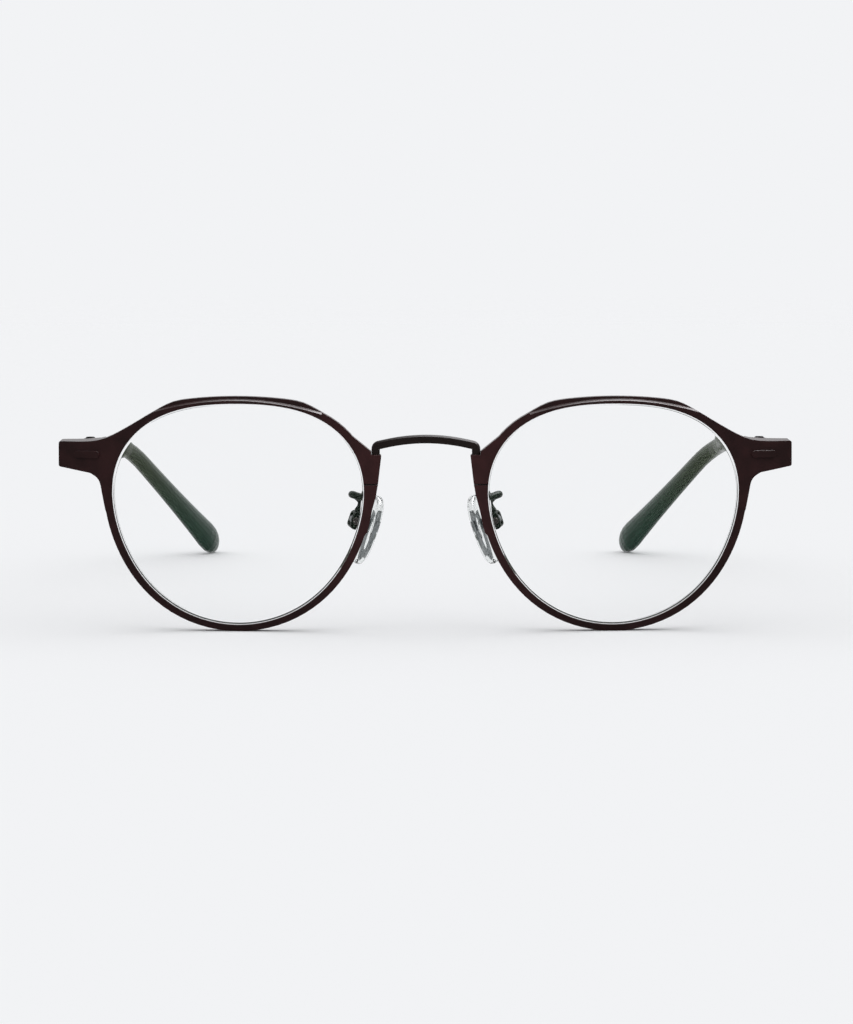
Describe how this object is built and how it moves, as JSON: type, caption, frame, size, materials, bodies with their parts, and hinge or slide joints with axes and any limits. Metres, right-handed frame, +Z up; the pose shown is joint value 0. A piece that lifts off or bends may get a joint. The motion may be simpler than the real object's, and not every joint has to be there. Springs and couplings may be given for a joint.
{
  "type": "panto eyeglasses",
  "caption": "Panto eyeglasses with a thin metal front, ledged crown, inset bridge wire, clear nose pads on arms, folding temples and soft hooked tips.",
  "frame": {"origin": "middle of the footprint on the surface the eyeglasses stand on, open, on their rims and temple tips", "axes": "+X towards the wearer's left, +Y from the front towards the ears, +Z up"},
  "size_m": [0.1378, 0.1388, 0.044],
  "materials": {
    "frame_lacquer": "satin burgundy lacquer",
    "bridge_metal": "satin dark lacquer",
    "temple_lacquer": "satin burgundy lacquer",
    "hinge_metal": "satin lacquer, worn bright at the knuckles",
    "green_lacquer": "glossy dark green lacquer",
    "tip_acetate": "polished dark green acetate, slightly translucent",
    "lens": "clear polished lens",
    "clear_silicone": "clear silicone",
    "core_steel": "dull",
    "screw_steel": "turned"
  },
  "bodies": {
    "front": {"bridge": "bridge_metal", "left_rim": "frame_lacquer", "right_rim": "frame_lacquer", "left_lens": "lens", "right_lens": "lens", "left_rim_lock_upper": "green_lacquer", "right_rim_lock_upper": "green_lacquer", "left_rim_lock_lower": "green_lacquer", "right_rim_lock_lower": "green_lacquer", "left_rim_lock_screw": "screw_steel", "right_rim_lock_screw": "screw_steel", "left_pad_arm": "green_lacquer", "right_pad_arm": "green_lacquer", "left_pad_box": "green_lacquer", "right_pad_box": "green_lacquer", "left_pad_screw": "screw_steel", "right_pad_screw": "screw_steel", "left_hinge_front": "hinge_metal", "right_hinge_front": "hinge_metal", "left_hinge_screw": "screw_steel", "right_hinge_screw": "screw_steel"},
    "left_temple": {"left_temple": "temple_lacquer", "left_temple_tip": "tip_acetate", "left_hinge_temple": "hinge_metal"},
    "left_pad": {"left_nose_pad": "clear_silicone", "left_pad_core": "core_steel"},
    "right_temple": {"right_temple": "temple_lacquer", "right_temple_tip": "tip_acetate", "right_hinge_temple": "hinge_metal"},
    "right_pad": {"right_nose_pad": "clear_silicone", "right_pad_core": "core_steel"}
  },
  "joints": [
    {"name": "left_temple_fold", "type": "hinge", "parent": "front", "child": "left_temple", "pos_m": [0.06355, -0.05438, 0.03295], "axis": [0, 0, 1], "range_deg": [0, 86]},
    {"name": "right_temple_fold", "type": "hinge", "parent": "front", "child": "right_temple", "pos_m": [-0.06355, -0.05438, 0.03295], "axis": [0, 0, -1], "range_deg": [0, 78]},
    {"name": "left_pad_rock", "type": "hinge", "parent": "front", "child": "left_pad", "pos_m": [0.0134, -0.05972, 0.02025], "axis": [0.3005, 0.9445, 0.1331], "range_deg": [-8, 8]},
    {"name": "right_pad_rock", "type": "hinge", "parent": "front", "child": "right_pad", "pos_m": [-0.0134, -0.05972, 0.02025], "axis": [-0.3005, 0.9445, 0.1331], "range_deg": [-8, 8]}
  ]
}
